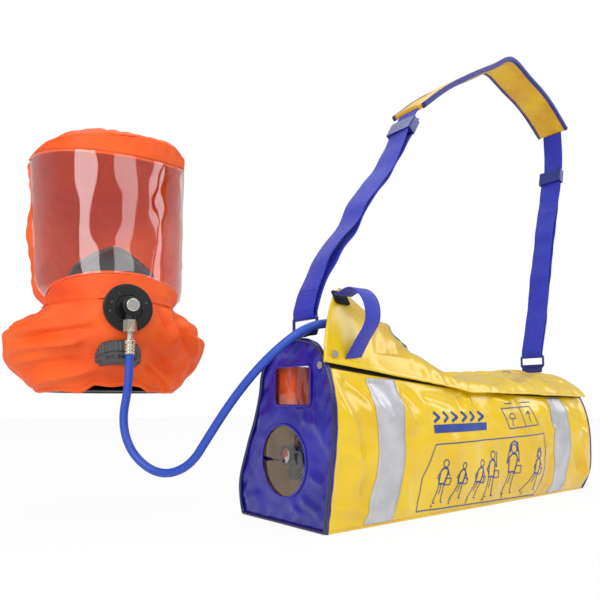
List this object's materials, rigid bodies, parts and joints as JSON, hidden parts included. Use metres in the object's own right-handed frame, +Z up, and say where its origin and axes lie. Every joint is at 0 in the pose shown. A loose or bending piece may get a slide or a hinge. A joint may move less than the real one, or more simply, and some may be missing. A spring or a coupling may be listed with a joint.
{
  "type": "smoke hood",
  "caption": "Orange escape hood with a clear visor and breathing valves, joined by a hose to an air cylinder in a blue and yellow shoulder bag.",
  "frame": {"origin": "middle of the bag's base, on the floor", "axes": "+X along the bag, the windows at -X; -Y is the bag's front; +Z up"},
  "size_m": [0.9798, 0.5678, 0.7795],
  "materials": {
    "orange_coated_fabric": "satin coated",
    "clear_film": "clear",
    "yellow_pvc_fabric": "glossy coated",
    "blue_pvc_fabric": "glossy coated",
    "blue_piping": "glossy",
    "blue_webbing": "woven",
    "yellow_pad_fabric": "satin coated",
    "black_hook_tape": "hook and loop",
    "reflective_tape": "retroreflective",
    "blue_plastic": "moulded",
    "black_plastic": "moulded",
    "dark_grey_plastic": "moulded",
    "black_rubber": "moulded",
    "blue_hose_rubber": "satin",
    "zinc_plated_steel": "plated",
    "nickel_plated_brass": "nickel plated",
    "black_anodised_aluminium": "anodised",
    "grey_painted_cylinder": "painted",
    "white_dial": "printed",
    "red_needle": "painted"
  },
  "bodies": {
    "set": {"air_cylinder": "grey_painted_cylinder", "bag_back": "yellow_pvc_fabric", "bag_base": "yellow_pvc_fabric", "bag_ferrule": "nickel_plated_brass", "bag_front": "yellow_pvc_fabric", "banjo_bolt": "zinc_plated_steel", "banjo_fitting": "black_anodised_aluminium", "clamp_ring": "black_plastic", "connector": "black_plastic", "cylinder_band_left": "zinc_plated_steel", "cylinder_band_right": "zinc_plated_steel", "cylinder_valve": "nickel_plated_brass", "end_stud": "zinc_plated_steel", "exhale_body": "dark_grey_plastic", "exhale_cover": "dark_grey_plastic", "gauge_case": "black_plastic", "gauge_dial": "white_dial", "gauge_glass": "clear_film", "high_pressure_link": "nickel_plated_brass", "hood_collar": "orange_coated_fabric", "hood_ferrule": "nickel_plated_brass", "hood_pouch": "orange_coated_fabric", "hood_shell": "orange_coated_fabric", "hose": "blue_hose_rubber", "hose_stem": "zinc_plated_steel", "inhale_seat": "black_plastic", "left_end_panel": "blue_pvc_fabric", "mouth_strip": "black_hook_tape", "neck_seal": "black_rubber", "oronasal_mask": "black_rubber", "pad_binding_back": "blue_webbing", "pad_binding_front": "blue_webbing", "piping_left": "blue_piping", "piping_right": "blue_piping", "pressure_reducer": "nickel_plated_brass", "reducer_outlet": "nickel_plated_brass", "right_end_panel": "blue_pvc_fabric", "ring_left": "blue_plastic", "ring_right": "blue_plastic", "round_window": "clear_film", "shoulder_pad": "yellow_pad_fabric", "square_window": "clear_film", "strap_left": "blue_webbing", "strap_right": "blue_webbing", "tab_left": "blue_webbing", "tab_right": "blue_webbing", "tape_left": "reflective_tape", "tape_right": "reflective_tape", "visor": "clear_film"},
    "flap_group": {"flap": "yellow_pvc_fabric", "hook_patch": "black_hook_tape", "pull_loop": "blue_webbing", "flap_stud": "zinc_plated_steel"},
    "left_adjuster": {"slider_left": "blue_plastic"},
    "right_adjuster": {"slider_right": "blue_plastic"},
    "handwheel": {"valve_handwheel": "black_plastic"},
    "needle": {"gauge_needle": "red_needle"},
    "exhalation_disc": {"exhale_disc": "black_rubber"},
    "inhalation_disc": {"inhale_disc": "black_rubber"},
    "coupling_nut": {"hose_nut": "nickel_plated_brass"}
  },
  "joints": [
    {"name": "flap_hinge", "type": "hinge", "parent": "set", "child": "flap_group", "pos_m": [0, 0.042, 0.187], "axis": [-1, 0, 0], "range_deg": [0, 8]},
    {"name": "left_adjuster_slide", "type": "slide", "parent": "set", "child": "left_adjuster", "axis": [0.525, 0.0264, 0.8507], "range_m": [-0.06, 0.012]},
    {"name": "right_adjuster_slide", "type": "slide", "parent": "set", "child": "right_adjuster", "axis": [0.2001, 0.0101, 0.9797], "range_m": [-0.025, 0.02]},
    {"name": "handwheel_turn", "type": "hinge", "parent": "set", "child": "handwheel", "pos_m": [-0.2665, 0, 0.075], "axis": [-1, 0, 0], "range_deg": [0, 540]},
    {"name": "needle_turn", "type": "hinge", "parent": "set", "child": "needle", "pos_m": [-0.27, 0.024, 0.082], "axis": [1, 0, 0], "range_deg": [-135, 135]},
    {"name": "exhalation_lift", "type": "slide", "parent": "set", "child": "exhalation_disc", "axis": [-0.0966, -0.521, -0.848], "range_m": [0, 0.002], "stiffness_N_per_m": 300},
    {"name": "inhalation_lift", "type": "slide", "parent": "set", "child": "inhalation_disc", "axis": [0.1822, 0.9833, 0], "range_m": [0, 0.0015], "stiffness_N_per_m": 200},
    {"name": "nut_turn", "type": "hinge", "parent": "set", "child": "coupling_nut", "pos_m": [-0.43762, 0.15281, 0.252], "axis": [0, 0, 1], "continuous": true}
  ]
}
